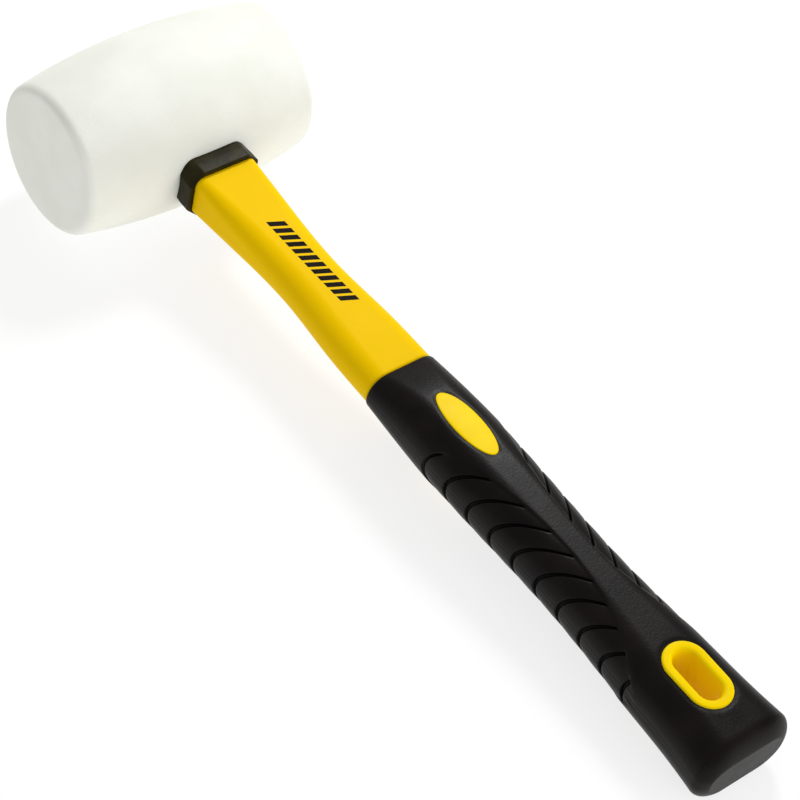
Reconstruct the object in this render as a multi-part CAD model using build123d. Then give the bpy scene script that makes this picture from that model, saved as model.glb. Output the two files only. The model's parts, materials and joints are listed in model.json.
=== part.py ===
from build123d import *
from math import acos, asin, atan2, cos, degrees, hypot, sqrt
import os

# Rubber mallet: a moulded barrel head on a jacketed fibreglass handle with an overmoulded grip.
#
# The pieces are drawn with the mallet level, in this drawing frame:
#   origin  the centre of the barrel
#   X       along the barrel, from one striking face to the other
#   Y       along the handle, positive from the butt towards the head
#   Z       out of the handle's front face
# Then lay_down() puts them as the mallet lies on a bench, on its barrel and its butt: +Z up,
# the origin at the bottom centre of the whole mallet. All sizes are in millimetres.

# ---------------------------------------------------------------- head
barrel_diameter = 60.0        # across the middle of the crowned barrel
face_diameter = 51.0          # across the striking face, before its rim is rounded
head_length = 90.0            # from one striking face to the other
rim_radius = 3.5              # rounding between the face and the side of the barrel

# ---------------------------------------------------------------- handle, as distances below the barrel's axis
handle_reach = 294.4          # from the barrel's axis to the end of the butt
collar_height = 6.0           # from the crown of the barrel to the lower face of the collar
grip_length = 163.2           # from the mouth of the grip to the end of the butt

# ---------------------------------------------------------------- neck of the jacket: width, thickness, corner radius
root_width, root_thickness, root_corner = 23.4, 16.2, 3.2
taper_width, taper_thickness, taper_corner = 22.4, 15.6, 4.8
waist_width, waist_thickness, waist_corner = 21.6, 14.2, 6.2
shoulder_width, shoulder_thickness, shoulder_corner = 24.8, 14.4, 6.6
mouth_width, mouth_thickness, mouth_corner = 25.8, 13.8, 6.5
taper_below_collar = 22.0
waist_below_collar = 50.0
shoulder_above_grip = 22.0

# ---------------------------------------------------------------- jacket and rod inside the grip
tongue_width, tongue_thickness, tongue_corner = 20.0, 11.6, 4.0
tongue_end_wall = 9.0         # rubber between the end of the tongue and the end of the butt
rod_width, rod_thickness, rod_corner = 13.0, 8.0, 2.5
rod_to_eyelet = 4.0           # solid jacket left between the rod and the hang eyelet

# ---------------------------------------------------------------- grip: width, thickness, corner radius
grip_step = 0.5               # the grip stands this far proud of the jacket at its mouth
throat_width, throat_thickness, throat_corner = 27.2, 21.4, 9.8
palm_width, palm_thickness, palm_corner = 28.4, 23.4, 10.8
middle_width, middle_thickness, middle_corner = 27.0, 24.0, 11.2
flare_width, flare_thickness, flare_corner = 30.4, 24.0, 10.6
heel_width, heel_thickness, heel_corner = 32.6, 24.2, 10.6
butt_width, butt_thickness, butt_corner = 37.0, 24.2, 11.4
throat_below_mouth = 14.0
palm_below_mouth = 29.0
middle_above_butt = 70.0
flare_above_butt = 36.4
heel_above_butt = 16.0
butt_edge_radius = 5.0        # rounding round the end of the butt

# ---------------------------------------------------------------- eye of the head, sleeve and collar
sleeve_wall = 1.0             # between the jacket's root and the rubber
sleeve_corner = 5.3
resin_depth = 3.0             # cured resin over the end of the sleeve and the jacket
resin_recess = 3.5            # the resin stops this far short of the crown of the barrel
collar_step = 0.8             # the collar stands this far out of the sleeve
collar_chamfer = 4.6          # cut off the collar's corners
collar_seat_chamfer = 3.0     # and off the corners of its narrow end in the barrel
collar_seat_depth = 3.0       # the narrow end is this far inside the crown of the barrel
collar_taper_end = 1.6        # the collar reaches its full size this far outside the crown

# ---------------------------------------------------------------- oval inlays
inlay_length = 28.1
inlay_width = 9.8
inlay_depth = 1.6
inlay_below_mouth = 30.2      # from the mouth of the grip to the middle of the inlay

# ---------------------------------------------------------------- hang eyelet
eyelet_length, eyelet_width = 24.8, 14.6
slot_length, slot_width = 18.4, 8.2
eyelet_above_butt = 26.2      # from the middle of the eyelet to the end of the butt
eyelet_proud = 0.4            # the eyelet's rim stands this far out of the grip
eyelet_rim_radius = 0.7
slot_rim_radius = 1.4

# ---------------------------------------------------------------- grip panels and their grooves
groove_count = 10
groove_pitch = 10.57
groove_width = 1.6
groove_depth = 1.2
groove_sweep = 0.0537         # fall of a groove towards the butt, per square of the girth from the side, in 1/mm
first_groove_below_mouth = 29.5
panel_recess = 0.4
panel_band_half_width = 4.1   # half of the smooth band between the two panels, where it is narrowest
panel_middle_below_mouth = 80.0
panel_upper_half = 54.0       # from the panel's widest place towards the head
panel_lower_half = 48.5       # and towards the butt
arch_shares = (-0.999, -0.97, -0.85, -0.6, -0.3, 0.0, 0.3, 0.6, 0.85, 0.97, 0.999)
border_shares = (-1, -0.97, -0.88, -0.7, -0.4, 0, 0.4, 0.7, 0.88, 0.97, 1)

# ---------------------------------------------------------------- worked out from the sizes above
barrel_radius = barrel_diameter / 2
collar_bottom = barrel_radius + collar_height
sleeve_width = root_width + 2 * sleeve_wall
sleeve_thickness = root_thickness + 2 * sleeve_wall
grip_mouth = handle_reach - grip_length
sleeve_top = barrel_radius - resin_recess - resin_depth
resin_top = barrel_radius - resin_recess
eyelet_place = handle_reach - eyelet_above_butt
tongue_end = handle_reach - tongue_end_wall
rod_end = eyelet_place - eyelet_length / 2 - rod_to_eyelet
inlay_place = grip_mouth + inlay_below_mouth
past = 5.0                    # cutting tools run this far past what they cut
settling_rounds = 2           # corrections of the angle at which the mallet rests


# ---------------------------------------------------------------- shapes
def plane_at(distance):
    """The plane across the handle at a distance below the barrel's axis, its x along X and y along Z."""
    return Plane(origin=(0, -distance, 0), x_dir=(1, 0, 0), z_dir=(0, -1, 0))


def bar(start, end, width, thickness, corner):
    """A straight bar with rounded corners along the handle."""
    section = plane_at(start) * RectangleRounded(width, thickness, corner)
    return extrude(section, amount=end - start)


def blend(stations, inset=0.0):
    """A smooth bar through rounded sections, each (distance, width, thickness, corner), all of them inset."""
    faces = [
        plane_at(place) * RectangleRounded(width - 2 * inset, thickness - 2 * inset, corner - inset)
        for place, width, thickness, corner in stations
    ]
    return loft(faces)


def cut_corners(place, width, thickness, cut):
    """A rectangle with its corners cut off, across the handle at a distance below the barrel's axis."""
    outline = Rectangle(width, thickness)
    return plane_at(place) * chamfer(outline.vertices(), cut)


def obround(length, width, low, high):
    """An upright prism with round ends along the handle, at the place of the hang eyelet."""
    outline = Plane.XY.offset(low) * Rot(0, 0, 90) * SlotOverall(length, width)
    return Pos(0, -eyelet_place, 0) * extrude(outline, amount=high - low)


def lay_down(shape, angle):
    """Turn the level mallet about the barrel's axis, its butt going down."""
    return Rot(angle, 0, 0) * shape


# ---------------------------------------------------------------- head
half_head = head_length / 2
side = ThreePointArc((-half_head, face_diameter / 2), (0, barrel_radius), (half_head, face_diameter / 2))
outline = side + Polyline(side @ 1, (half_head, 0), (-half_head, 0), side @ 0)
barrel = revolve(make_face(outline), Axis.X)
rims = barrel.edges().filter_by(GeomType.CIRCLE).sort_by(Axis.X)
barrel = fillet([rims[0], rims[-1]], rim_radius)
eye = bar(-barrel_radius - past, barrel_radius + past, sleeve_width, sleeve_thickness, sleeve_corner)
rubber_head = barrel - eye

# ---------------------------------------------------------------- jacket and rod
neck = blend(
    [
        (collar_bottom, root_width, root_thickness, root_corner),
        (collar_bottom + taper_below_collar, taper_width, taper_thickness, taper_corner),
        (collar_bottom + waist_below_collar, waist_width, waist_thickness, waist_corner),
        (grip_mouth - shoulder_above_grip, shoulder_width, shoulder_thickness, shoulder_corner),
        (grip_mouth, mouth_width, mouth_thickness, mouth_corner),
    ]
)
tang = bar(-sleeve_top, collar_bottom, root_width, root_thickness, root_corner)
tongue = bar(grip_mouth, tongue_end, tongue_width, tongue_thickness, tongue_corner)
rod = bar(-sleeve_top, rod_end, rod_width, rod_thickness, rod_corner)
eyelet_seat = obround(eyelet_length, eyelet_width, -butt_thickness, butt_thickness)
handle = tang + neck + tongue
handle_jacket = handle - rod - eyelet_seat

# ---------------------------------------------------------------- sleeve with its collar, and the resin over it
sleeve = bar(-sleeve_top, collar_bottom, sleeve_width, sleeve_thickness, sleeve_corner)
collar_width = sleeve_width + 2 * collar_step
collar_thickness = sleeve_thickness + 2 * collar_step
taper_end = barrel_radius + collar_taper_end
seat = cut_corners(barrel_radius - collar_seat_depth, sleeve_width, sleeve_thickness, collar_seat_chamfer)
shoulder = cut_corners(taper_end, collar_width, collar_thickness, collar_chamfer)
collar = loft([seat, shoulder]) + extrude(shoulder, amount=collar_bottom - taper_end)
eye_sleeve = sleeve + (collar - barrel) - tang
eye_resin = bar(-resin_top, -sleeve_top, sleeve_width, sleeve_thickness, sleeve_corner)

# ---------------------------------------------------------------- grip
grip_stations = [
    (grip_mouth, mouth_width + 2 * grip_step, mouth_thickness + 2 * grip_step, mouth_corner + grip_step),
    (grip_mouth + throat_below_mouth, throat_width, throat_thickness, throat_corner),
    (grip_mouth + palm_below_mouth, palm_width, palm_thickness, palm_corner),
    (handle_reach - middle_above_butt, middle_width, middle_thickness, middle_corner),
    (handle_reach - flare_above_butt, flare_width, flare_thickness, flare_corner),
    (handle_reach - heel_above_butt, heel_width, heel_thickness, heel_corner),
    (handle_reach, butt_width, butt_thickness, butt_corner),
]
grip_blank = blend(grip_stations)
end_face = grip_blank.faces().sort_by(Axis.Y)[0]
grip_blank = fillet(end_face.edges(), butt_edge_radius)

# ---------------------------------------------------------------- inlays
inlay_pad = Pos(0, -inlay_place, 0) * extrude(
    Rot(0, 0, 90) * Ellipse(inlay_length / 2, inlay_width / 2), amount=palm_thickness
)
pad_floor = palm_thickness / 2 - inlay_depth
front_prism = Pos(0, 0, pad_floor) * inlay_pad
front_inlay = grip_blank & front_prism
rear_inlay = mirror(front_inlay, Plane.XY)

# ---------------------------------------------------------------- hang eyelet
rim_height = heel_thickness / 2 + eyelet_proud
hang_eyelet = obround(eyelet_length, eyelet_width, -rim_height, rim_height)
outer_rims = hang_eyelet.faces().filter_by(Axis.Z).edges()
hang_eyelet = fillet(outer_rims, eyelet_rim_radius)
hang_eyelet -= obround(slot_length, slot_width, -rim_height - past, rim_height + past)
inner_rims = [
    edge
    for face in hang_eyelet.faces().filter_by(Axis.Z)
    for wire in face.inner_wires()
    for edge in wire.edges()
]
hang_eyelet = fillet(inner_rims, slot_rim_radius)


# ---------------------------------------------------------------- panels and grooves
def size_at(place):
    """Half width, half thickness and corner radius of the grip at a distance below the barrel's axis."""
    for upper, lower in zip(grip_stations, grip_stations[1:]):
        if place <= lower[0]:
            share = (place - upper[0]) / (lower[0] - upper[0])
            width, thickness, corner = (
                before + share * (after - before) for before, after in zip(upper[1:], lower[1:])
            )
            return width / 2, thickness / 2, corner
    raise ValueError("the place is past the end of the grip")


def girth(height):
    """Distance round the middle of the grip from the middle of its side to a height on its corner."""
    flat = middle_thickness / 2 - middle_corner
    if height <= flat:
        return height
    return flat + middle_corner * asin((height - flat) / middle_corner)


def groove_line(place, shift):
    """One edge of a groove seen from the side: an arch that falls towards the butt as the girth squared."""
    heights = [middle_thickness / 2 * share for share in arch_shares]
    return Spline([(-place - shift - groove_sweep * girth(abs(height)) ** 2, height) for height in heights])


def side_tool(upper, lower):
    """The strip between two lines seen from the side, cut straight through the grip along X."""
    strip = upper + Line(upper @ 1, lower @ 1) + lower + Line(lower @ 0, upper @ 0)
    return extrude(Plane.YZ * make_face(strip), amount=butt_width, both=True)


def panel_edge(share):
    """A point on a panel's border: its girth falls as an ellipse from the panel's middle to its ends."""
    half = panel_upper_half if share < 0 else panel_lower_half
    place = grip_mouth + panel_middle_below_mouth + share * half
    half_width, half_thickness, corner = size_at(place)
    flat = half_thickness - corner
    widest = flat + corner * acos((panel_band_half_width - half_width + corner) / corner)
    reach = widest * sqrt(1 - share**2)
    turn = max(0.0, reach - flat) / corner
    return half_width - corner * (1 - cos(turn)), -place


border = Spline([panel_edge(share) for share in border_shares])
outside = Polyline(border @ 1, (butt_width, (border @ 1).Y), (butt_width, (border @ 0).Y), border @ 0)
panel_blank = extrude(make_face(border + outside), amount=butt_thickness, both=True)
panel_blank += mirror(panel_blank, Plane.YZ)
first_groove = grip_mouth + first_groove_below_mouth
panel_span = side_tool(groove_line(first_groove, -groove_width / 2), groove_line(handle_reach, 0.0))
panel_blank = panel_blank & panel_span
recesses = panel_blank - blend(grip_stations, panel_recess)
grooves = [
    side_tool(groove_line(place, -groove_width / 2), groove_line(place, groove_width / 2))
    for place in (first_groove + number * groove_pitch for number in range(groove_count))
]
groove_floor = blend(grip_stations, panel_recess + groove_depth)
grip = grip_blank - handle - eyelet_seat - front_inlay - rear_inlay - recesses
for groove in grooves:
    grip -= (groove & panel_blank) - groove_floor

# ---------------------------------------------------------------- the pieces, one file each
pieces = {
    "rubber_head": rubber_head,
    "eye_sleeve": eye_sleeve,
    "eye_resin": eye_resin,
    "handle_rod": rod,
    "handle_jacket": handle_jacket,
    "grip": grip,
    "front_inlay": front_inlay,
    "rear_inlay": rear_inlay,
    "hang_eyelet": hang_eyelet,
}
edge_reach = handle_reach - butt_edge_radius
edge_drop = butt_thickness / 2 - butt_edge_radius
tangent = asin((barrel_radius - butt_edge_radius) / hypot(edge_reach, edge_drop))
rest_angle = degrees(tangent - atan2(edge_drop, edge_reach))
for settling in range(settling_rounds):
    gap = lay_down(grip, rest_angle).bounding_box().min.Z + barrel_radius
    rest_angle += degrees(gap / edge_reach)
resting = [lay_down(piece, rest_angle) for piece in (rubber_head, grip)]
box = Compound(resting).bounding_box()
to_base = Pos(-box.center().X, -box.center().Y, -box.min.Z)
print(f"the handle slopes {rest_angle:.3f} degrees, the barrel's axis is at y {-box.center().Y:.3f}")
os.makedirs("parts", exist_ok=True)
for name, piece in pieces.items():
    export_step(to_base * lay_down(piece, rest_angle), f"parts/{name}.step")
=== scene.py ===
"""The looks of a rubber mallet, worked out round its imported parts.

Shapes are worked out level and in millimetres: X runs along the barrel, Y along the handle
towards the head, Z out of the handle's front face, and the origin is the middle of the barrel.
"Below" is a distance from the barrel's axis towards the butt. lay() then lays a shape down as
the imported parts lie, in metres.
"""

import json
from math import asin, atan2, cos, pi, radians, sin, sqrt

import bmesh
import bpy
import numpy as np
from mathutils import Matrix, Vector


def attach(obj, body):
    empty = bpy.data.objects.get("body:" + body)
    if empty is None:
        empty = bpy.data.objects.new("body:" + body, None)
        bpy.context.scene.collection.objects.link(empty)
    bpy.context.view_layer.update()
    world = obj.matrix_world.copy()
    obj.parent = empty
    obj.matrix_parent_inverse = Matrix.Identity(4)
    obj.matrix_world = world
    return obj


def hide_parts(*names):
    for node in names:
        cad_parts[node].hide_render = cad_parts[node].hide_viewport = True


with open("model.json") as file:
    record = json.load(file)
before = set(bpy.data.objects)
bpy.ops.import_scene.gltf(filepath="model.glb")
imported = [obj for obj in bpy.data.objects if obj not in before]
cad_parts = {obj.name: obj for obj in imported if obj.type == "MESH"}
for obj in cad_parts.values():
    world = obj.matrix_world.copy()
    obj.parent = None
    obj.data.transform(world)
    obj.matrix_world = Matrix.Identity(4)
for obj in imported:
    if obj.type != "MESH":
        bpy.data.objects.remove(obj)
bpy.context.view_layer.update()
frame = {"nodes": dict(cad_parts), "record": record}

# ---------------------------------------------------------------- where the mallet lies
MM = 0.001
mounts = {mount["name"]: mount for mount in frame["record"]["mounts"]}
left_face, right_face = (np.array(mounts[f"strike_face_{side}"]["pos_m"]) for side in ("left", "right"))
barrel_middle = (left_face + right_face) / 2
slope = atan2(-mounts["hang_slot"]["axis"][1], mounts["hang_slot"]["axis"][2])
turned = np.array([[1, 0, 0], [0, cos(slope), -sin(slope)], [0, sin(slope), cos(slope)]])


def lay(points):
    """Turns level points about X by the handle's slope and moves them to the barrel's middle, in metres."""
    return points @ turned.T * MM + barrel_middle


def level_box(node):
    """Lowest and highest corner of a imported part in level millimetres."""
    points = np.empty(len(frame["nodes"][node].data.vertices) * 3)
    frame["nodes"][node].data.vertices.foreach_get("co", points)
    level = (points.reshape(-1, 3) - barrel_middle) @ turned / MM
    return level.min(0), level.max(0)


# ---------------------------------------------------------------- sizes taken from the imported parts
head_high = level_box("rubber_head")[1]
sleeve_low, sleeve_high = level_box("eye_sleeve")
resin_high = level_box("eye_resin")[1]
grip_low, grip_high = level_box("grip")
inlay_low, inlay_high = level_box("front_inlay")
eyelet_low, eyelet_high = level_box("hang_eyelet")

half_head = head_high[0]
barrel_radius = head_high[2]
collar_end = -sleeve_low[1]
sleeve_top = -sleeve_high[1]
resin_top = -resin_high[1]
eye_size = 2 * resin_high[0], 2 * resin_high[2]
grip_mouth = -grip_high[1]
reach = -grip_low[1]
inlay_place = -(inlay_low[1] + inlay_high[1]) / 2
inlay_half_length = (inlay_high[1] - inlay_low[1]) / 2
inlay_half_width = inlay_high[0]
eyelet_place = -(eyelet_low[1] + eyelet_high[1]) / 2
eyelet_length = eyelet_high[1] - eyelet_low[1]
eyelet_width = 2 * eyelet_high[0]
eyelet_top = eyelet_high[2]

# ---------------------------------------------------------------- sizes of the shapes, in millimetres
face_radius = 25.5
head_rim = 3.5
eye_corner = 5.3
eye_rim = 0.6
fit = 0.05
collar_width, collar_thickness, collar_chamfer = 27.0, 19.8, 4.6
seat_width, seat_thickness, seat_chamfer = 25.4, 18.2, 3.0
seat_inside, shoulder_outside = 3.0, 1.6
collar_edge, collar_softness = 0.45, 0.35

root = 23.4, 16.2, 3.2
neck = np.array(
    [
        (collar_end, *root),
        (collar_end + 22.0, 22.4, 15.6, 5.8),
        (collar_end + 50.0, 21.6, 14.2, 6.8),
        (grip_mouth - 22.0, 24.8, 14.4, 6.9),
        (grip_mouth, 25.8, 13.8, 6.5),
    ]
)
tongue = 20.0, 11.6, 4.0
handle_grip = np.array(
    [
        (grip_mouth, 26.8, 14.8, 7.0),
        (grip_mouth + 14.0, 27.2, 21.4, 9.8),
        (grip_mouth + 29.0, 28.4, 23.4, 10.8),
        (reach - 70.0, 27.0, 24.0, 11.2),
        (reach - 36.4, 30.4, 24.0, 10.6),
        (reach - 16.0, 32.6, 24.2, 10.6),
        (reach, 37.0, 24.2, 11.4),
    ]
)
butt_edge, butt_curl, butt_turn, butt_front_drop = 4.6, 4.2, radians(56), 0.32
seam_rise, seam_half_width = 0.07, 0.45
mouth_lip, seat_rim = 0.25, 0.35
eyelet_dip, inlay_dip = 0.15, 0.12
tongue_short, bore_short = 2.0, 1.9
slot_length, slot_width = 18.4, 8.2
slot_rim, eyelet_rim = 1.4, 0.7
resin_sag = 0.5
inlay_rise, inlay_crown, inlay_edge, inlay_foot = 0.12, 0.12, 0.35, 1.3

groove_count, groove_pitch, groove_width, groove_depth = 10, 10.57, 1.6, 1.2
groove_sweep = 0.0537
arch_reach, arch_softness, arch_narrowing, narrowing_start = 16.5, 0.8, 0.235, grip_mouth + 93.8
first_groove = grip_mouth + 29.5
last_groove = first_groove + (groove_count - 1) * groove_pitch
panel_middle, panel_upper_half, panel_lower_half = grip_mouth + 80.0, 54.0, 48.5
panel_girth = 17.3
panel_recess, land_crown = 0.4, 0.12

bars_start, bars_length, bars_pitch, bars_fill = collar_end + 26.6, 38.5, 3.3, 0.67
bars_half_height, bars_lean, bars_middle, bars_drift = 2.8, 0.45, -1.75, 0.034


# ---------------------------------------------------------------- curves and sections
def step(start, end, value):
    """0 before start, 1 after end, and between them three times the share squared less twice its cube."""
    share = np.clip((value - start) / (end - start), 0, 1)
    return share * share * (3 - 2 * share)


def sizes_at(stations, below):
    """Width, thickness and corner radius at places along the handle: the natural cubic curve
    through the stations, whose bends solve one linear system and vanish at both ends."""
    places, sizes = stations[:, 0], stations[:, 1:]
    gaps = np.diff(places)
    inner = np.arange(1, len(places) - 1)
    system = np.eye(len(places))
    system[inner, inner - 1] = gaps[:-1]
    system[inner, inner] = 2 * (gaps[:-1] + gaps[1:])
    system[inner, inner + 1] = gaps[1:]
    pulls = np.zeros_like(sizes)
    pulls[1:-1] = 6 * np.diff(np.diff(sizes, axis=0) / gaps[:, None], axis=0)
    bends = np.linalg.solve(system, pulls)
    span = np.clip(np.searchsorted(places, below) - 1, 0, len(gaps) - 1)
    gap = gaps[span][..., None]
    past = (below - places[span])[..., None]
    left = gap - past
    cubes = (bends[span] * left**3 + bends[span + 1] * past**3) / (6 * gap)
    lines = (sizes[span] / gap - bends[span] * gap / 6) * left
    lines += (sizes[span + 1] / gap - bends[span + 1] * gap / 6) * past
    return np.moveaxis(cubes + lines, -1, 0)


def shares(columns):
    """Places round a section, from 0 to 4: one unit for each quarter, from the middle of the +X side."""
    return np.arange(columns) * 4 / columns


def section(width, thickness, corner, share):
    """A point, its outward direction and the girth walked to it on a rectangle with round corners.
    In each quarter the walk from the side's middle goes straight up the side, round the corner's
    arc, and straight along the face to its middle; the other quarters mirror the first."""
    quarter = np.floor(share)
    within = np.where(quarter % 2 == 0, share - quarter, 1 - share + quarter)
    side, face, arc = thickness / 2 - corner, width / 2 - corner, corner * pi / 2
    walked = within * (side + arc + face)
    turn = np.clip((walked - side) / corner, 0, pi / 2)
    x = face + corner * np.cos(turn) - np.clip(walked - side - arc, 0, None)
    z = np.minimum(walked, side) + corner * np.sin(turn)
    right = np.where((quarter == 0) | (quarter == 3), 1, -1)
    front = np.where(quarter < 2, 1, -1)
    return x * right, z * front, np.cos(turn) * right, np.sin(turn) * front, walked


def section_ring(below, width, thickness, corner, share, inset=0.0):
    """A ring of the handle: the section at a distance below the barrel's axis, made smaller by inset."""
    x, z, *_ = section(width - 2 * inset, thickness - 2 * inset, np.maximum(corner - inset, 0.05), share)
    return np.stack(np.broadcast_arrays(x, -below, z), -1)


def chamfered(below, width, thickness, chamfer, edge, columns):
    """A ring round a rectangle with cut corners and rounded edges. A quarter is walked between nodes
    of a smaller outline, each with the direction faced there, and the edge radius is added along it."""
    half, deep = width / 2 - edge, thickness / 2 - edge
    cut = chamfer - edge * (2 - sqrt(2))
    nodes = np.array([(half, 0, 0), (half, deep - cut, 0), (half, deep - cut, pi / 4),
                      (half - cut, deep, pi / 4), (half - cut, deep, pi / 2), (0, deep, pi / 2)])
    legs = np.hypot(*np.diff(nodes[:, :2], axis=0).T) + edge * np.diff(nodes[:, 2])
    walked = np.concatenate([[0], np.cumsum(legs)])
    share = shares(columns)
    quarter = np.floor(share)
    within = np.where(quarter % 2 == 0, share - quarter, 1 - share + quarter) * walked[-1]
    x, z, turn = (np.interp(within, walked, nodes[:, axis]) for axis in range(3))
    right = np.where((quarter == 0) | (quarter == 3), 1, -1)
    front = np.where(quarter < 2, 1, -1)
    x, z = (x + edge * np.cos(turn)) * right, (z + edge * np.sin(turn)) * front
    return np.stack(np.broadcast_arrays(x, -below, z), -1)


# ---------------------------------------------------------------- skins
class Skin:
    """A closed surface put together from rings of points, each ring closed on itself."""

    def __init__(self):
        self.points, self.hollows, self.faces, self.count = [], [], [], 0

    def add(self, points, hollow=0.0):
        """Adds points, with how far each lies in a groove, and returns their numbers in the same order."""
        numbers = np.arange(self.count, self.count + points[..., 0].size).reshape(points.shape[:-1])
        self.points.append(points.reshape(-1, 3))
        self.hollows.append((hollow + np.zeros(numbers.shape)).ravel())
        self.count += numbers.size
        return numbers

    def bridge(self, first, second, kept=None):
        """Quads from each ring of a stack to the ring beside it in the other stack, where kept is true."""
        corners = np.stack([first, np.roll(first, -1, -1), np.roll(second, -1, -1), second], -1)
        self.faces.append(corners.reshape(-1, 4)[... if kept is None else kept.ravel()])

    def stack(self, points, kept=None, hollow=0.0):
        """Adds a stack of rings with the quads between neighbours, and returns their numbers."""
        numbers = self.add(points, hollow)
        self.bridge(numbers[:-1], numbers[1:], kept)
        return numbers

    def fan(self, ring, middle):
        """Closes a ring with triangles to one point in its middle."""
        pole = np.broadcast_to(self.add(np.array([middle], float)), ring.shape)
        self.faces.append(np.stack([ring, np.roll(ring, -1), pole], -1))

    def piece(self, name, material, slot, *nodes):
        """The finished object, laid down, without its unused points, its faces turned outwards, in place
        of the named parts."""
        used = np.zeros(self.count, bool)
        for block in self.faces:
            used[block] = True
        renumbered = np.cumsum(used) - 1
        faces = [face for block in self.faces for face in renumbered[block].tolist()]
        mesh = bpy.data.meshes.new(name)
        mesh.from_pydata(lay(np.concatenate(self.points)[used]).tolist(), [], faces)
        shape = bmesh.new()
        shape.from_mesh(mesh)
        bmesh.ops.recalc_face_normals(shape, faces=shape.faces)
        shape.to_mesh(mesh)
        shape.free()
        mesh.polygons.foreach_set("use_smooth", np.ones(len(mesh.polygons), bool))
        hollow = mesh.attributes.new("hollow", "FLOAT", "POINT")
        hollow.data.foreach_set("value", np.concatenate(self.hollows)[used])
        mesh.materials.append(material)
        made = bpy.data.objects.new(name, mesh)
        bpy.context.scene.collection.objects.link(made)
        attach(made, "root")
        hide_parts(*nodes)
        return made


def window_border(window, columns, mirror=None):
    """Rows and columns round a window of a grid, given as its first and last row and column: along
    the first row, down the last column, back along the last row and up the first column. With mirror,
    each column is the mirror less itself, which is the window's mirror image."""
    top, bottom, left, right = window
    across, down = np.arange(left, right), np.arange(top, bottom)
    rows = np.concatenate([np.full(across.size, top), down, np.full(across.size, bottom), down[::-1] + 1])
    places = np.concatenate([across, np.full(down.size, right), across[::-1] + 1, np.full(down.size, left)])
    return rows, (places if mirror is None else mirror - places) % columns


def cut_window(kept, window, mirror=None):
    """Marks the cells of a window, or of its mirror image, as left out."""
    top, bottom, left, right = window
    cells = np.arange(left, right)
    kept[top:bottom, (cells if mirror is None else mirror - 1 - cells) % kept.shape[1]] = False


def rim_rings(border, landing, outward, height, rim, dip=0.0, across=9, round_steps=5):
    """Rings from a window's border to the rounded rim of a hole. Each border point slides straight to
    its landing on the hole's outline, at the surface's height less a dip that deepens over the last
    millimetre and a half, and then follows a quarter circle of the rim's radius down into it."""
    share = 1 - (1 - np.arange(1, across + 1) / across)[:, None] ** 1.7
    edge = landing + outward * rim
    plane = border[:, :2] + (edge - border[:, :2]) * share[..., None]
    lift = (border[:, 2] - height(border[:, :2])) * (1 - share)
    away = np.linalg.norm(edge - border[:, :2], axis=-1) * (1 - share)
    sloped = np.dstack([plane, height(plane) + lift - dip * (1 - step(0, 1.5, away))])
    turn = (np.arange(1, round_steps + 1) / round_steps * pi / 2)[:, None]
    plane = landing + outward * (rim * (1 - np.sin(turn)))[..., None]
    rounded = np.dstack([plane, height(plane) - dip - rim * (1 - np.cos(turn))])
    return np.concatenate([sloped, rounded])


def straight_landing(points, middle, core, radius):
    """Nearest points, and directions away from them, of an outline that keeps one radius from a core
    rectangle: each point less its nearest core point gives the direction."""
    nearest = middle + np.clip(points - middle, -np.array(core), np.array(core))
    away = points - nearest
    away /= np.linalg.norm(away, axis=-1, keepdims=True)
    return nearest + away * radius, away


def oval_landing(points, middle, halves):
    """Points of an oval outline, straight towards its middle, and the directions square to it there."""
    unit = (points - middle) / halves
    unit /= np.linalg.norm(unit, axis=-1, keepdims=True)
    away = unit / halves
    return middle + unit * halves, away / np.linalg.norm(away, axis=-1, keepdims=True)


# ---------------------------------------------------------------- finishes
class Wire:
    """A value carried by a shader socket. Arithmetic on wires adds Math nodes to their finish."""

    def __init__(self, finish, socket):
        self.finish, self.socket = finish, socket

    def math(self, operation, *values):
        return self.finish.node("ShaderNodeMath", {"operation": operation}, dict(enumerate(values)))

    def __add__(self, other):
        return self.math("ADD", self, other)

    def __sub__(self, other):
        return self.math("SUBTRACT", self, other)

    def __rsub__(self, other):
        return self.math("SUBTRACT", other, self)

    def __mul__(self, other):
        return self.math("MULTIPLY", self, other)

    def __truediv__(self, other):
        return self.math("DIVIDE", self, other)

    def __gt__(self, other):
        return self.math("GREATER_THAN", self, other)

    def __lt__(self, other):
        return self.math("LESS_THAN", self, other)

    def __abs__(self):
        return self.math("ABSOLUTE", self)

    __radd__, __rmul__ = __add__, __mul__


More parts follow.
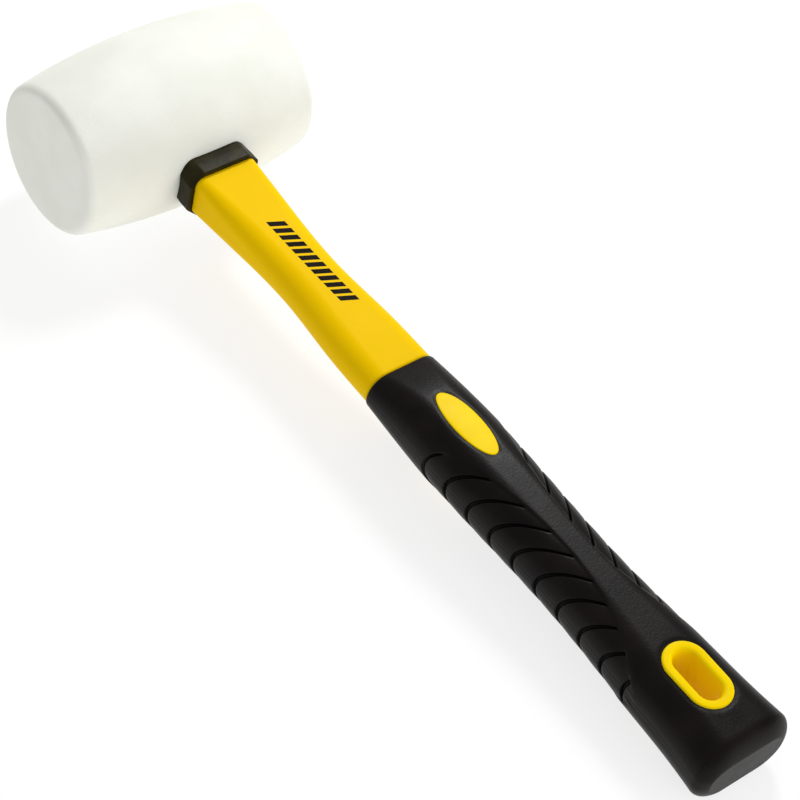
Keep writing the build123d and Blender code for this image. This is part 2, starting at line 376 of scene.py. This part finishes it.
class Finish:
    """A material whose surface shader is fed by wires."""

    def __init__(self, name, **uniform):
        self.material = bpy.data.materials.new(name)
        self.material.use_nodes = True
        self.tree = self.material.node_tree
        self.shader = self.tree.nodes["Principled BSDF"]
        for socket, value in uniform.items():
            self.shader.inputs[socket.replace("_", " ")].default_value = value
        self.place = self.node("ShaderNodeTexCoord", {}, {}, "Object")

    def node(self, kind, settings, inputs, output=0):
        """A node with its settings, then the values or wires of its sockets; its output as a wire."""
        made = self.tree.nodes.new(kind)
        for name, value in settings.items():
            if name == "stops":
                ramp = made.color_ramp.elements
                while len(ramp) < len(value):
                    ramp.new(0.5)
                for element, (place, shade) in zip(ramp, value):
                    element.position, element.color = place, shade
            else:
                setattr(made, name, value)
        for name, value in inputs.items():
            if isinstance(value, Wire):
                self.tree.links.new(value.socket, made.inputs[name])
            else:
                made.inputs[name].default_value = value
        return Wire(self, made.outputs[output])

    def set(self, name, wire):
        """Feeds a wire to a socket of the surface shader."""
        self.tree.links.new(wire.socket, self.shader.inputs[name])

    def noise(self, size, detail, stretch=(1, 1, 1)):
        """Cloudy noise from 0 to 1 whose features measure about size millimetres, stretched along axes."""
        place = self.node("ShaderNodeMapping", {}, {"Vector": self.place, "Scale": stretch})
        inputs = {"Vector": place, "Scale": 1 / (size * MM), "Detail": detail}
        return self.node("ShaderNodeTexNoise", {}, inputs, "Fac")

    def ramp(self, value, low, high):
        """0 where the value is under low, 1 where it is over high, and smooth between them."""
        inputs = {"Value": value, "From Min": low, "From Max": high}
        return self.node("ShaderNodeMapRange", {"interpolation_type": "SMOOTHSTEP"}, inputs)

    def mix(self, share, first, second):
        """The first colour where the share is 0 and the second where it is 1."""
        inputs = {"Factor": share, 6: first, 7: second}
        return self.node("ShaderNodeMix", {"data_type": "RGBA"}, inputs, 2)

    def bump(self, height, depth):
        """A rough surface whose height goes from 0 to depth millimetres."""
        inputs = {"Height": height * (depth * MM), "Distance": 1.0}
        self.set("Normal", self.node("ShaderNodeBump", {}, inputs))


def paint(red, green, blue):
    """A shade given as it looks on a screen, from 0 to 255, as the linear colour that shaders take."""
    shade = np.array((red, green, blue)) / 255
    linear = np.where(shade <= 0.04045, shade / 12.92, ((shade + 0.055) / 1.055) ** 2.4)
    return (*linear.tolist(), 1.0)


def level_place(finish):
    """X, the distance below the barrel's axis and Z of the level frame, in millimetres."""
    origin = tuple((-barrel_middle @ turned).tolist())
    level = finish.node("ShaderNodeMapping", {},
                        {"Vector": finish.place, "Location": origin, "Rotation": (-slope, 0, 0)})
    x, y, z = (finish.node("ShaderNodeSeparateXYZ", {}, {"Vector": level}, axis) for axis in "XYZ")
    return x / MM, y / -MM, z / MM


def white_rubber():
    """Matte off-white rubber: a faint cloudiness, a fine orange-peel skin, slight scuffs."""
    finish = Finish("white_rubber", Roughness=0.62, Specular_IOR_Level=0.35)
    cloud = finish.ramp(finish.noise(22, 3), 0.35, 0.7)
    finish.set("Base Color", finish.mix(cloud, paint(238, 239, 229), paint(244, 245, 237)))
    finish.bump(finish.noise(1.1, 3) + finish.noise(7, 2) * 1.5, 0.05)
    return finish.material


def yellow_jacket():
    """Satin golden yellow plastic with black printed bars, leaning like a row of hatching."""
    finish = Finish("yellow_jacket", Specular_IOR_Level=0.02)
    cloud = finish.ramp(finish.noise(30, 2, (1, 0.4, 1)), 0.3, 0.7)
    yellow = finish.mix(cloud, paint(247, 202, 0), paint(242, 197, 0))
    x, below, z = level_place(finish)
    off = x - (below * bars_drift + bars_middle)
    along = below - off * bars_lean - bars_start
    bars = (along > 0) * (along < bars_length) * (abs(off) < bars_half_height) * (z > 0)
    repeat = along / bars_pitch
    bars = bars * (repeat.math("FRACT", repeat) < bars_fill)
    finish.set("Base Color", finish.mix(bars, yellow, paint(20, 14, 9)))
    finish.set("Roughness", finish.noise(9, 3) * 0.1 + 0.4)
    finish.bump(finish.noise(2.5, 2), 0.02)
    return finish.material


def lemon_plastic():
    """Glossy lemon plastic of the oval inlays and the hang eyelet."""
    finish = Finish("lemon_plastic", Specular_IOR_Level=0.03)
    cloud = finish.ramp(finish.noise(8, 2), 0.3, 0.7)
    finish.set("Base Color", finish.mix(cloud, paint(251, 219, 4), paint(249, 213, 1)))
    finish.set("Roughness", finish.noise(3, 3) * 0.1 + 0.28)
    finish.bump(finish.noise(1.5, 2), 0.015)
    return finish.material


def black_grip():
    """Soft black rubber: fine grain, cloudy sheen, and painted shade that turns the grooves near-black."""
    finish = Finish("black_grip", Specular_IOR_Level=0.085)
    cloud = finish.ramp(finish.noise(12, 3), 0.3, 0.7)
    hollow = finish.node("ShaderNodeAttribute", {"attribute_name": "hollow"}, {}, "Fac")
    rubber = finish.mix(cloud, paint(14, 11, 10), paint(23, 19, 17))
    # Painted shade: where the hollow share runs from 0.3 to 0.9, the base colour goes to near-black. It
    # stands in for the shade deep in the grooves.
    finish.set("Base Color", finish.mix(finish.ramp(hollow, 0.3, 0.9), rubber, paint(2, 2, 2)))
    finish.set("Roughness", finish.noise(6, 4) * 0.14 + 0.3 + hollow * 0.3)
    finish.bump(finish.noise(0.7, 2) + finish.noise(4, 2) * 0.6, 0.05)
    return finish.material


def black_plastic():
    """Harder black plastic of the sleeve and its collar."""
    finish = Finish("black_plastic", Specular_IOR_Level=0.07)
    cloud = finish.ramp(finish.noise(5, 3), 0.3, 0.7)
    finish.set("Base Color", finish.mix(cloud, paint(30, 27, 10), paint(43, 40, 18)))
    finish.set("Roughness", finish.noise(2, 3) * 0.15 + 0.34)
    finish.bump(finish.noise(0.9, 2), 0.03)
    return finish.material


def cured_resin():
    """Dark amber casting resin, glossy, with a few small bubbles."""
    finish = Finish("cured_resin", Coat_Weight=0.6, Coat_Roughness=0.1)
    cells = finish.node("ShaderNodeTexVoronoi", {}, {"Vector": finish.place, "Scale": 420.0}, "Distance")
    bubble = 1 - finish.ramp(cells, 0.1, 0.22)
    cloud = finish.ramp(finish.noise(5, 3), 0.3, 0.7)
    amber = finish.mix(cloud, paint(96, 62, 26), paint(128, 88, 40))
    finish.set("Base Color", finish.mix(bubble, amber, paint(150, 112, 66)))
    finish.set("Roughness", finish.noise(4, 2) * 0.1 + 0.12)
    finish.bump(finish.noise(3, 2) - bubble * 0.6, 0.1)
    return finish.material


def fibreglass():
    """Pale green-white fibreglass with strands along the rod."""
    finish = Finish("fibreglass", Coat_Weight=0.3)
    strands = finish.noise(0.6, 4, (1, 0.03, 1))
    finish.set("Base Color", finish.mix(strands, paint(196, 202, 178), paint(232, 234, 220)))
    finish.set("Roughness", strands * 0.3 + 0.3)
    finish.bump(strands, 0.04)
    return finish.material


# ---------------------------------------------------------------- rubber head
def head_profile():
    """Places along X and radii from the left face's middle to the right face's. The face is a disc, the
    rim a quarter turn of a small circle, and the side one arc of a large circle that is highest in the
    middle; the small circle touches the face and, inside, the large circle."""
    rise = barrel_radius - face_radius
    side_radius = (half_head**2 + rise**2) / (2 * rise)
    rim_x = half_head - head_rim
    rim_turn = asin(rim_x / (side_radius - head_rim))
    rim_height = (side_radius - head_rim) * cos(rim_turn) - side_radius + barrel_radius
    disc = np.linspace(0.06, 0.97, 14) * rim_height
    around = np.linspace(0, pi / 2 - rim_turn, 12)
    along = np.linspace(-rim_turn, 0, 48)[1:]
    x = [np.full(disc.size, -half_head), -rim_x - head_rim * np.cos(around), side_radius * np.sin(along)]
    radius = [disc, rim_height + head_rim * np.sin(around),
              side_radius * np.cos(along) - side_radius + barrel_radius]
    x, radius = np.concatenate(x), np.concatenate(radius)
    return np.concatenate([x, -x[-2::-1]]), np.concatenate([radius, radius[-2::-1]])


def barrel_height(plane):
    """Height of the barrel's surface above the plane through its axis: the root of the squared radius of
    the profile at X less the squared distance from the axis."""
    x, radius = head_profile()
    side = np.abs(x) < half_head - head_rim
    return np.sqrt(np.interp(plane[..., 0], x[side], radius[side]) ** 2 - plane[..., 1] ** 2)


def make_head(material):
    """The profile turned round X, with the handle's eye cut through it: rings lead from a window in the
    grid to the eye's rounded rim, down its wall, and out to the mirror window on the far side."""
    columns = 240
    x, radius = head_profile()
    angle = np.arange(columns) * 2 * pi / columns
    rings = np.stack([np.broadcast_to(x[:, None], (x.size, columns)),
                      radius[:, None] * np.cos(angle), radius[:, None] * np.sin(angle)], -1)
    inside = np.flatnonzero(np.abs(x) < eye_size[0] / 2 + 4)
    reach_round = round(asin((eye_size[1] / 2 + 3.5) / barrel_radius) / (2 * pi) * columns)
    window = inside[0], inside[-1], -reach_round, reach_round
    kept = np.ones((x.size - 1, columns), bool)
    cut_window(kept, window)
    cut_window(kept, window, columns // 2)
    skin = Skin()
    numbers = skin.stack(rings, kept)
    rows, places = window_border(window, columns)
    border = rings[rows, places][:, [0, 2, 1]]
    core = eye_size[0] / 2 - eye_corner, eye_size[1] / 2 - eye_corner
    landing, away = straight_landing(border[:, :2], np.zeros(2), core, eye_corner)
    top = rim_rings(border, landing, away, barrel_height, eye_rim)
    wall = top[-1] * np.stack([[1, 1, share] for share in np.linspace(1, -1, 8)[1:-1]])[:, None]
    through = np.concatenate([top, wall, top[::-1] * (1, 1, -1)])[..., [0, 2, 1]]
    inner = skin.stack(through)
    skin.bridge(numbers[rows, places], inner[0])
    skin.bridge(inner[-1], numbers[window_border(window, columns, columns // 2)])
    skin.fan(numbers[0], (-half_head, 0, 0))
    skin.fan(numbers[-1], (half_head, 0, 0))
    return skin.piece("rubber_head_skin", material, "white_rubber", "rubber_head")


# ---------------------------------------------------------------- sleeve, collar and resin
def make_sleeve(material):
    """A tube closed on itself: down its outside in the eye, out along the tapering seat to the collar's
    soft shoulder, down the collar, round its lower edge, across its end and up the bore."""
    columns = 240
    share = shares(columns)
    seat_place, shoulder_place = barrel_radius - seat_inside, barrel_radius + shoulder_outside

    def collar(below, inset=0.0):
        return chamfered(below, collar_width - 2 * inset, collar_thickness - 2 * inset,
                         collar_chamfer - 0.6 * inset, collar_edge + 0.5, columns)

    shell = [section_ring(place, *eye_size, eye_corner, share, fit)
             for place in (sleeve_top, seat_place - 0.5)]
    seat = chamfered(seat_place, seat_width - 0.1, seat_thickness - 0.1, seat_chamfer, collar_edge, columns)
    turn = np.linspace(0, pi / 2, 6)
    edge = [collar(collar_end - collar_edge * (1 - sin(a)), collar_edge * (1 - cos(a))) for a in turn]
    soft = seat + (collar(shoulder_place) - seat) * 0.93
    outside = [*shell, seat, soft, collar(shoulder_place + collar_softness), *edge]
    bore = [section_ring(place, *root, share, -0.08) for place in (collar_end, sleeve_top)]
    skin = Skin()
    numbers = skin.stack(np.array([*outside, *bore]))
    skin.bridge(numbers[-1], numbers[0])
    return skin.piece("sleeve_and_collar", material, "black_plastic", "eye_sleeve")


def make_resin(material):
    """A plug that fills the eye over the sleeve: its top sags in the middle and climbs at the wall, by
    the sag times the fourth power of the share of the way out."""
    share = shares(160)
    outward = np.array([0.1, 0.3, 0.5, 0.7, 0.82, 0.9, 0.95, 1.0])
    ring = section_ring(0.0, *eye_size, eye_corner, share, 0.04)
    rise = -resin_top - resin_sag * (1 - outward**4)
    surface = ring * outward[:, None, None] + (0, 1, 0) * rise[:, None, None]
    under = ring[None] * np.array([1.0, 0.1])[:, None, None] + (0, -sleeve_top, 0)
    skin = Skin()
    numbers = skin.stack(np.concatenate([surface, under]))
    skin.fan(numbers[0], (0, -resin_top - resin_sag, 0))
    skin.fan(numbers[-1], (0, -sleeve_top, 0))
    return skin.piece("resin_plug", material, "resin", "eye_resin")


# ---------------------------------------------------------------- jacket
def make_jacket(material):
    """The yellow jacket: a straight tang in the sleeve, the neck's sections along a smooth curve, and a
    smaller tongue inside the grip that ends short of the hang eyelet."""
    share = shares(200)
    tang = np.array([section_ring(place, *root, share) for place in (sleeve_top + fit, collar_end - 3)])
    below = np.linspace(collar_end, grip_mouth, 70)[:, None]
    visible = section_ring(below, *sizes_at(neck, below), share)
    tongue_end = eyelet_place - eyelet_length / 2 - tongue_short
    inner = np.array([section_ring(place, *tongue, share) for place in (grip_mouth + fit, tongue_end)])
    skin = Skin()
    numbers = skin.stack(np.concatenate([tang, visible, inner]))
    skin.fan(numbers[0], (0, -sleeve_top - fit, 0))
    skin.fan(numbers[-1], (0, -tongue_end, 0))
    return skin.piece("neck_jacket", material, "yellow_jacket", "handle_jacket")


# ---------------------------------------------------------------- grip
def arch(walked, row):
    """How far a row of the grip falls towards the butt: the groove sweep times the square of the girth
    walked from the side's middle, which stops growing at the arch reach. The reach narrows in step with
    the panel. The fall grows from nothing over the throat and fades over the heel."""
    reached = arch_reach - arch_narrowing * np.clip(row - narrowing_start, 0, None)
    held = walked - arch_softness * np.log1p(np.exp((walked - reached) / arch_softness))
    grown = step(grip_mouth, first_groove - 3, row) * (1 - step(last_groove - 12, reach - 8, row))
    return groove_sweep * held**2 * grown


def front_height(plane):
    """Height of the grip's front face above the handle's middle at X and Y: flat in the middle, and
    past the flat a circle of the corner's radius."""
    width, thickness, corner = sizes_at(handle_grip, -plane[..., 1])
    past = np.clip(np.abs(plane[..., 0]) - width / 2 + corner, 0, corner)
    return thickness / 2 - corner + np.sqrt(corner**2 - past**2)


def grip_relief(walked, below, row):
    """Depth of the grip's relief, and how far each point lies in a groove. Two lens-shaped panels, whose
    girth falls as an ellipse towards both ends, are sunk by the panel recess; their lands swell a little,
    and each groove is a steep channel along its row. A low seam runs along the side's middle."""
    half = np.where(below < panel_middle, panel_upper_half, panel_lower_half)
    lens = panel_girth * np.sqrt(np.clip(1 - ((below - panel_middle) / half) ** 2, 0, 1))
    panel = step(-0.2, 1.0, lens - walked) * step(first_groove - 0.6, first_groove + 0.4, row)
    number = np.clip(np.round((row - first_groove) / groove_pitch), 0, groove_count - 1)
    off = np.abs(row - first_groove - number * groove_pitch) / (groove_width / 2)
    groove = 1 - step(0.7, 1.1, off)
    phase = np.clip((row - first_groove) / groove_pitch, 0, groove_count) % 1
    land = np.sin(pi * phase) ** 2
    groove = groove * panel * step(0.0, 1.2, lens - walked)
    seam = seam_rise * (1 - step(0, seam_half_width, walked)) * (1 - groove)
    return panel * (panel_recess - land_crown * land) + groove * groove_depth - seam, groove


def grip_row_places():
    """Rows at the side's middle: evenly down the throat, then for each groove a close set across it and
    a wide set over the land, then evenly down the heel."""
    half = np.array([0.25, 0.54, 0.64, 0.74, 0.84, 1.05])
    across = np.concatenate([-half[::-1], half, np.linspace(2.0, groove_pitch - 2.0, 5)])
    grooved = (first_groove + groove_pitch * np.arange(groove_count)[:, None] + across).ravel()
    throat = np.linspace(grip_mouth + 0.4, first_groove - 1.6, 30)
    heel = np.linspace(grooved[-1] + 1.2, reach - butt_edge, 20)
    return np.concatenate([throat, grooved, heel])


def make_grip(material):
    """The overmoulded grip: sections along a smooth curve with the relief sunk in, a rounded end, a bore
    for the jacket's tongue, an opening for the hang eyelet and a pocket for each oval inlay."""
    columns = 360
    share = shares(columns)
    row = grip_row_places()[:, None]
    below = row + np.zeros(columns)
    for _ in range(4):
        x, z, out_x, out_z, walked = section(*sizes_at(handle_grip, below), share)
        below = row + arch(walked, row)
    relief, groove = grip_relief(walked, below, row)
    body = np.stack([x - relief * out_x, -below, z - relief * out_z], -1)

    mouth_sizes = handle_grip[0, 1:]
    lip = [section_ring(grip_mouth + mouth_lip * (1 - sin(a)), *mouth_sizes, share, mouth_lip * (1 - cos(a)))
           for a in np.linspace(pi / 2, 0, 4)]
    turn = np.linspace(0, butt_turn, 12)[1:, None]
    end_place = reach - butt_edge * (1 - np.sin(turn) / sin(butt_turn))
    curl = butt_curl * (1 - np.cos(turn)) / (1 - cos(butt_turn))
    end = section_ring(end_place, *sizes_at(handle_grip, end_place), share, curl)
    end[..., 2] *= np.where(end[..., 2] > 0, 1 - butt_front_drop * curl / butt_curl, 1)
    last = end[-1] * (1, 0, 1)
    disc = last * np.concatenate([[0.985], np.linspace(0.9, 0.1, 7)])[:, None, None] + (0, -reach, 0)
    bore_end = eyelet_place - eyelet_length / 2 - bore_short
    bore = np.array([section_ring(place, *tongue, share, -fit) for place in (bore_end, grip_mouth)])
    rings = np.concatenate([bore, np.array(lip), body, end, disc])
    first = len(bore) + len(lip)

    kept = np.ones((len(rings) - 1, columns), bool)
    front = columns // 4
    middle_rows = -rings[:, front, 1]
    skin = Skin()

    def window_round(place, half_length, half_width):
        """First and last row and column of the grid cells about a place on the front of the grip."""
        rows = np.flatnonzero(np.abs(middle_rows - place) < half_length)
        rows = rows[(rows > first) & (rows < first + len(body))]
        level = rings[rows[len(rows) // 2]]
        half = np.count_nonzero(np.abs(level[: columns // 2, 0]) < half_width) // 2
        return rows[0], rows[-1], front - half, front + half

    eyelet_window = window_round(eyelet_place, eyelet_length / 2 + 3.0, eyelet_width / 2 + 2.2)
    inlay_window = window_round(inlay_place, inlay_half_length + 2.2, inlay_half_width + 1.8)
    for window in (eyelet_window, inlay_window):
        cut_window(kept, window)
        cut_window(kept, window, columns)
    hollow = np.zeros(rings.shape[:-1])
    hollow[first : first + len(body)] = groove
    numbers = skin.stack(rings, kept, hollow)
    skin.fan(numbers[0], (0, -bore_end, 0))
    skin.fan(numbers[-1], (0, -reach, 0))

    # the opening right through for the hang eyelet
    rows, places = window_border(eyelet_window, columns)
    border = rings[rows, places]
    radius = eyelet_width / 2 - 0.15
    core = 0.0, (eyelet_length - eyelet_width) / 2
    landing, away = straight_landing(border[:, :2], np.array([0, -eyelet_place]), core, radius)
    top = rim_rings(border, landing, away, front_height, seat_rim, eyelet_dip)
    wall = top[-1] * np.stack([[1, 1, part] for part in np.linspace(1, -1, 8)[1:-1]])[:, None]
    inner = skin.stack(np.concatenate([top, wall, top[::-1] * (1, 1, -1)]))
    skin.bridge(numbers[rows, places], inner[0])
    skin.bridge(inner[-1], numbers[window_border(eyelet_window, columns, columns)])

    # the pockets for the two oval inlays
    rows, places = window_border(inlay_window, columns)
    border = rings[rows, places]
    middle = np.array([0, -inlay_place])
    halves = np.array([inlay_half_width, inlay_half_length]) - 0.1
    landing, away = oval_landing(border[:, :2], middle, halves)
    top = rim_rings(border, landing, away, front_height, seat_rim, inlay_dip)
    floor = top[-1] - (0, 0, inlay_foot - 0.5)
    centre = np.array([0, -inlay_place, floor[0, 2]])
    pocket = np.concatenate([top, floor[None], centre + (floor - centre) * np.array([[[0.5, 0.5, 1.0]]])])
    for side, mirror in ((1, None), (-1, columns)):
        inner = skin.stack(pocket * (1, 1, side))
        skin.bridge(numbers[window_border(inlay_window, columns, mirror)], inner[0])
        skin.fan(inner[-1], centre * (1, 1, side))
    return skin.piece("grip_skin", material, "black_grip", "grip")


# ---------------------------------------------------------------- inlays and eyelet
def make_inlay(name, side, material):
    """An oval pad that follows the grip's face: its top swells to the middle, its edge is a quarter
    circle, and its wall goes down into the pocket."""
    angle = np.arange(144) * 2 * pi / 144
    halves = np.array([inlay_half_width, inlay_half_length])
    unit = np.stack([np.cos(angle), np.sin(angle)], -1)
    away = unit / halves
    away /= np.linalg.norm(away, axis=-1, keepdims=True)
    edge = unit * halves - away * inlay_edge
    outward = np.linspace(0.08, 1.0, 14)[:, None]
    flat = edge * outward[..., None]
    rise = inlay_rise + inlay_crown * (1 - outward**2) + 0 * angle
    turn = np.linspace(0, pi / 2, 6)[1:, None]
    curled = edge + away * (inlay_edge * np.sin(turn))[..., None]
    fall = inlay_rise - inlay_edge * (1 - np.cos(turn)) + 0 * angle
    plane = np.concatenate([flat, curled]) - (0, inlay_place)
    top = np.dstack([plane, front_height(plane) + np.concatenate([rise, fall])])
    foot = top[-1] - (0, 0, inlay_foot)
    middle = np.array([0, -inlay_place, front_height(np.array([0, -inlay_place]))])
    skin = Skin()
    numbers = skin.stack(np.concatenate([top, foot[None]]) * (1, 1, side))
    skin.fan(numbers[0], (middle + (0, 0, inlay_rise + inlay_crown)) * (1, 1, side))
    skin.fan(numbers[-1], (middle - (0, 0, inlay_foot)) * (1, 1, side))
    return skin.piece(name, material, "lemon_plastic", name.replace("_pad", "_inlay"))


def make_eyelet(material):
    """A ring with long straight sides, open right through: up the outside wall, round the outer rim, over
    the flat top, round the slot's larger rim and down the slot, and the same mirrored below."""
    straight, half_turn = 24, 60
    ahead = np.concatenate([np.full(half_turn, 1.0), np.linspace(1, -1, straight + 2)[1:-1],
                            np.full(half_turn, -1.0), np.linspace(-1, 1, straight + 2)[1:-1]])
    angle = np.linspace(0, pi, half_turn)
    faced = np.concatenate([angle, np.full(straight, pi), angle + pi, np.full(straight, 2 * pi)])
    core_outer, core_inner = (eyelet_length - eyelet_width) / 2, (slot_length - slot_width) / 2
    outer, inner = eyelet_width / 2, slot_width / 2
    turn = np.linspace(0, pi / 2, 7)
    radius = np.concatenate([[outer], outer - eyelet_rim * (1 - np.cos(turn)),
                             inner + slot_rim * (1 - np.sin(turn)), [inner]])
    height = np.concatenate([[0], eyelet_top - eyelet_rim * (1 - np.sin(turn)),
                             eyelet_top - slot_rim * (1 - np.cos(turn)), [0]])
    radius, height = np.concatenate([radius, radius[-2:0:-1]]), np.concatenate([height, -height[-2:0:-1]])
    core = core_inner + (core_outer - core_inner) * (radius - inner) / (outer - inner)
    rings = np.stack([radius[:, None] * np.cos(faced),
                      core[:, None] * ahead + radius[:, None] * np.sin(faced) - eyelet_place,
                      height[:, None] + 0 * faced], -1)
    skin = Skin()
    numbers = skin.stack(rings)
    skin.bridge(numbers[-1], numbers[0])
    return skin.piece("eyelet_ring", material, "lemon_plastic", "hang_eyelet")


make_head(white_rubber())
make_sleeve(black_plastic())
make_resin(cured_resin())
make_jacket(yellow_jacket())
make_grip(black_grip())
lemon = lemon_plastic()
make_inlay("front_pad", 1, lemon)
make_inlay("rear_pad", -1, lemon)
make_eyelet(lemon)
frame["nodes"]["handle_rod"].data.materials.clear()
frame["nodes"]["handle_rod"].data.materials.append(fibreglass())

# ---------------------------------------------------------------- floor, light and camera
floor_mesh = bpy.data.meshes.new("studio_floor")
floor_mesh.from_pydata([(-3, -3, 0), (3, -3, 0), (3, 3, 0), (-3, 3, 0)], [], [(0, 1, 2, 3)])
studio_floor = bpy.data.objects.new("studio_floor", floor_mesh)
bpy.context.scene.collection.objects.link(studio_floor)
floor_finish = Finish(
    "studio_floor", Base_Color=(0.25, 0.25, 0.25, 1), Roughness=1.0, Specular_IOR_Level=0.0,
    Emission_Color=(1, 1, 1, 1), Emission_Strength=0.78,
)
floor_mesh.materials.append(floor_finish.material)

aim = lay(np.array([-4.8, -137.3, 0.0]))
camera_distance = 833.3 * MM
azimuth, elevation, roll = radians(-46.457), radians(46.338), radians(11.224)
back = Vector((sin(azimuth) * cos(elevation), -cos(azimuth) * cos(elevation), sin(elevation)))
lens = bpy.data.cameras.new("camera")
lens.sensor_width, lens.lens = 36.0, 121.6
lens.clip_start, lens.clip_end = 0.05, 20.0
camera = bpy.data.objects.new("camera", lens)
bpy.context.scene.collection.objects.link(camera)
camera.matrix_world = (
    Matrix.Translation(Vector(aim) + back * camera_distance)
    @ (-back).to_track_quat("-Z", "Y").to_matrix().to_4x4()
    @ Matrix.Rotation(roll, 4, "Z")
)
bpy.context.scene.camera = camera


def soft_light(name, place, size, power, glossy=True):
    """A square lamp that looks at the mallet's middle from a place in metres, mirrored in gloss or not."""
    lamp = bpy.data.lights.new(name, "AREA")
    lamp.size, lamp.energy = size, power
    made = bpy.data.objects.new(name, lamp)
    facing = (-Vector(place)).to_track_quat("-Z", "Y")
    made.matrix_world = Matrix.Translation(place) @ facing.to_matrix().to_4x4()
    made.visible_glossy = glossy
    bpy.context.scene.collection.objects.link(made)


soft_light("key_light", (0.55, 0.45, 0.83), 0.25, 6.6)
soft_light("fill_light", (0.35, -1.25, 0.35), 0.9, 7.3, glossy=False)
world = bpy.data.worlds.new("studio")
world.use_nodes = True
world.node_tree.nodes["Background"].inputs["Color"].default_value = (1, 1, 1, 1)
world.node_tree.nodes["Background"].inputs["Strength"].default_value = 0.5
bpy.context.scene.world = world
bpy.context.scene.view_settings.view_transform = "Standard"
